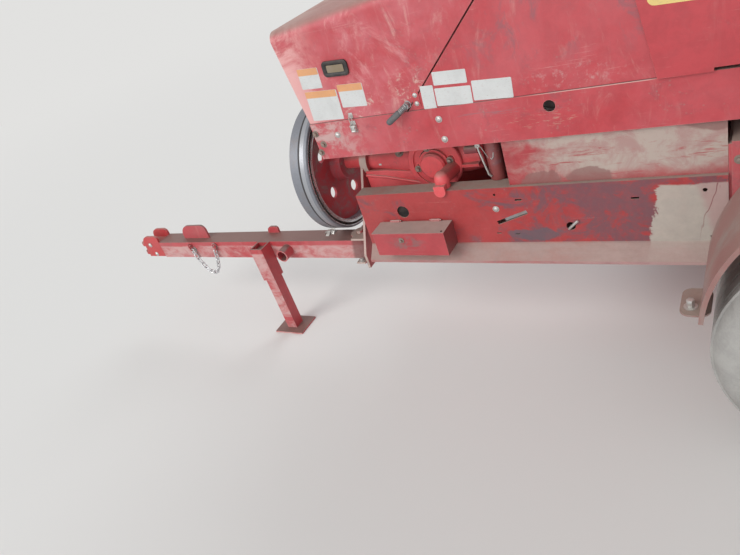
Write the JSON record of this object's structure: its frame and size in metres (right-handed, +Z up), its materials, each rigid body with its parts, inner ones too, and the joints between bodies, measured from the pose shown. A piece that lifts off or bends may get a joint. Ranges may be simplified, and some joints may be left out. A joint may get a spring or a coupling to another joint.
{
  "type": "square baler",
  "caption": "Towed small square baler: bale case with plunger drive and hood, side pickup and feeder, knotters, twine box, wheels, tongue and bale chute.",
  "frame": {"origin": "on the ground, below the middle of the machine's outer box", "axes": "+X to the machine's rear, +Y to its right, +Z up"},
  "size_m": [6.022, 2.941, 1.6459],
  "materials": {
    "red": "faded, dusty red paint",
    "cast_red": "brighter red paint on castings",
    "dusty_red": "red paint under tan dust",
    "bare_steel": "worn bright steel",
    "black_plastic": "matte black",
    "tyre": "dusty ribbed rubber"
  },
  "bodies": {
    "chassis": {"side_beams": "red", "case_floor": "red", "bale_case": "red", "rear_case": "red", "side_channels": "red", "inner_panels": "dusty_red", "front_gusset": "red", "gearbox": "cast_red", "plunger_drive": "bare_steel", "plunger": "red", "side_shields": "red", "rear_shields": "red", "feeder_housing": "red", "axles": "red", "fender": "red", "twine_box": "red", "knotter_stack": "bare_steel", "tension_rails": "red", "tension_cranks": "bare_steel", "toolbox": "red", "pickup_drive_shield": "red"},
    "hood": {"front_hood": "red", "hood_lever": "bare_steel", "bale_counter": "black_plastic"},
    "flywheel": {"flywheel": "bare_steel"},
    "left_wheel": {"left_rim": "dusty_red", "left_tyre": "tyre"},
    "right_wheel": {"right_rim": "dusty_red", "right_tyre": "tyre"},
    "tongue": {"tongue_beam": "red", "hitch_clevis": "cast_red", "safety_chain": "bare_steel"},
    "stand": {"stand_leg": "red"},
    "pickup": {"pickup_frame": "red", "stripper_bands": "cast_red"},
    "reel": {"pickup_reel": "bare_steel"},
    "wind_guard": {"wind_guard": "red"},
    "gauge_wheel": {"gauge_wheel": "tyre"},
    "feeder": {"feeder_tines": "bare_steel"},
    "needles": {"needle_frame": "bare_steel"},
    "star_wheel": {"star_wheel": "bare_steel"},
    "knotter_hood": {"knotter_hood": "red"},
    "twine_lid": {"twine_box_lid": "red"},
    "tool_lid": {"toolbox_lid": "dusty_red"},
    "chute": {"bale_chute": "red"}
  },
  "joints": [
    {"name": "flywheel_spin", "type": "hinge", "parent": "chassis", "child": "flywheel", "pos_m": [-1.516, -0.7505, 0.815], "axis": [1, 0, 0], "continuous": true},
    {"name": "left_wheel_spin", "type": "hinge", "parent": "chassis", "child": "left_wheel", "pos_m": [0.404, -1.2955, 0.4], "axis": [0, 1, 0], "continuous": true},
    {"name": "right_wheel_spin", "type": "hinge", "parent": "chassis", "child": "right_wheel", "pos_m": [0.594, 1.3045, 0.34], "axis": [0, 1, 0], "continuous": true},
    {"name": "tongue_swing", "type": "hinge", "parent": "chassis", "child": "tongue", "pos_m": [-1.461, -0.9055, 0.466], "axis": [0, 0, 1], "range_deg": [0, 20]},
    {"name": "stand_slide", "type": "slide", "parent": "tongue", "child": "stand", "axis": [0, 0, 1], "range_m": [0, 0.28]},
    {"name": "hood_open", "type": "hinge", "parent": "chassis", "child": "hood", "pos_m": [-0.52556, -0.7505, 1.57229], "axis": [0, 1, 0], "range_deg": [0, 70]},
    {"name": "pickup_lift", "type": "hinge", "parent": "chassis", "child": "pickup", "pos_m": [0.168, -0.7505, 0.497], "axis": [0, 1, 0], "range_deg": [0, 20]},
    {"name": "reel_spin", "type": "hinge", "parent": "pickup", "child": "reel", "pos_m": [-0.076, 0.4895, 0.38], "axis": [0, 1, 0], "continuous": true},
    {"name": "wind_guard_lift", "type": "hinge", "parent": "pickup", "child": "wind_guard", "pos_m": [-0.016, 0.4895, 0.71], "axis": [0, 1, 0], "range_deg": [0, 35]},
    {"name": "gauge_wheel_spin", "type": "hinge", "parent": "pickup", "child": "gauge_wheel", "pos_m": [0.044, 1.4395, 0.195], "axis": [0, 1, 0], "continuous": true},
    {"name": "feeder_travel", "type": "slide", "parent": "chassis", "child": "feeder", "axis": [0, 1, 0], "range_m": [-0.18, 0.45]},
    {"name": "needle_swing", "type": "hinge", "parent": "chassis", "child": "needles", "pos_m": [0.844, -0.7505, 0.623], "axis": [0, 1, 0], "range_deg": [-75, 0]},
    {"name": "star_wheel_spin", "type": "hinge", "parent": "chassis", "child": "star_wheel", "pos_m": [1.704, -0.7505, 0.951], "axis": [0, 1, 0], "continuous": true},
    {"name": "knotter_hood_open", "type": "hinge", "parent": "chassis", "child": "knotter_hood", "pos_m": [0.899, -0.7505, 1.053], "axis": [0, 1, 0], "range_deg": [-70, 0]},
    {"name": "twine_lid_open", "type": "hinge", "parent": "chassis", "child": "twine_lid", "pos_m": [1.344, -0.4605, 1.1536], "axis": [1, 0, 0], "range_deg": [0, 80]},
    {"name": "tool_lid_open", "type": "hinge", "parent": "chassis", "child": "tool_lid", "pos_m": [-1.093, -1.0065, 0.6435], "axis": [1, 0, 0], "range_deg": [-80, 0]},
    {"name": "chute_fold", "type": "hinge", "parent": "chassis", "child": "chute", "pos_m": [2.269, -0.7505, 0.483], "axis": [0, 1, 0], "range_deg": [-70, 0]}
  ]
}
